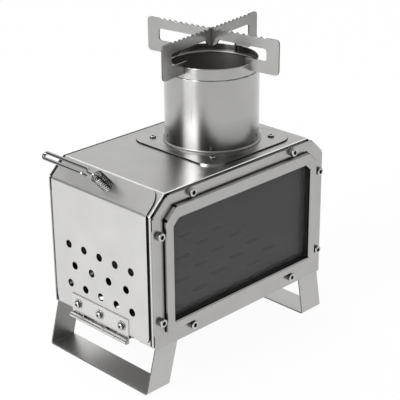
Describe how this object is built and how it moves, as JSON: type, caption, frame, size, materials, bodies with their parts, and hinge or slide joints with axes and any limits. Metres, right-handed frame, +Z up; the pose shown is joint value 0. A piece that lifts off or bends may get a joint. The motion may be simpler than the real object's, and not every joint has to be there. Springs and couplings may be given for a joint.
{
  "type": "tent wood stove",
  "caption": "Box-shaped tent wood stove with a glass side window, a drop-down vented end door with a wire handle, folding strap legs, a flue collar and a notched cross stand.",
  "frame": {"origin": "on the ground, under the middle of the bounding box", "axes": "+Z up, +X from the door end to the rear, +Y from the window side to the closed far side"},
  "size_m": [0.215, 0.133, 0.264],
  "materials": {
    "folded_steel": "brushed",
    "door_steel": "fine brushed",
    "flue_steel": "polished, drawn",
    "inner_steel": "plain rolled, heat-dulled",
    "leg_steel": "brushed",
    "stand_steel": "satin, laser-cut edges",
    "wire": "polished wire",
    "spring_wire": "bright drawn wire",
    "fastener": "turned stainless",
    "gasket": "black glass-fibre tape",
    "window_glass": "smoke-dark heat-resistant glass"
  },
  "bodies": {
    "stove": {"body_shell": "folded_steel", "floor_plate": "inner_steel", "fire_grate": "inner_steel", "window_seat": "inner_steel", "window_gasket": "gasket", "window_glass": "window_glass", "window_bezel": "folded_steel", "window_frame": "folded_steel", "window_bolts": "fastener", "window_nuts": "fastener", "far_side_plate": "folded_steel", "hinge_body_leaf": "folded_steel", "hinge_pin": "fastener", "hinge_rivets": "fastener", "leg_rivets": "fastener", "flue_base_plate": "folded_steel", "flue_base_screws": "fastener", "flue_base_nuts": "fastener", "flue_collar": "flue_steel", "flue_liner": "inner_steel", "slotted_ring": "flue_steel"},
    "door": {"door_panel": "door_steel", "hinge_door_leaf": "folded_steel", "hinge_screws": "fastener", "hinge_nuts": "fastener", "handle_spring": "spring_wire"},
    "handle": {"handle": "wire", "latch_tongue": "inner_steel", "latch_nut": "fastener"},
    "front_leg": {"front_leg": "leg_steel"},
    "rear_leg": {"rear_leg": "leg_steel"},
    "stand_lower": {"cross_lower": "stand_steel"},
    "stand_upper": {"cross_upper": "stand_steel"}
  },
  "joints": [
    {"name": "door_hinge", "type": "hinge", "parent": "stove", "child": "door", "pos_m": [-0.1017, 0, 0.0356], "axis": [0, -1, 0], "range_deg": [0, 95]},
    {"name": "handle_turn", "type": "hinge", "parent": "door", "child": "handle", "pos_m": [-0.09056, -0.0045, 0.15948], "axis": [0.6839, 0, -0.7295], "range_deg": [-90, 0]},
    {"name": "front_leg_fold", "type": "hinge", "parent": "stove", "child": "front_leg", "pos_m": [-0.0756, 0, 0.0416], "axis": [0, -1, 0], "range_deg": [0, 85]},
    {"name": "rear_leg_fold", "type": "hinge", "parent": "stove", "child": "rear_leg", "pos_m": [0.0796, 0, 0.0416], "axis": [0, 1, 0], "range_deg": [0, 85]},
    {"name": "stand_lift", "type": "slide", "parent": "stove", "child": "stand_lower", "axis": [0, 0, 1], "range_m": [0, 0.12]},
    {"name": "upper_plate_lift", "type": "slide", "parent": "stand_lower", "child": "stand_upper", "axis": [0, 0, 1], "range_m": [0, 0.06]}
  ]
}
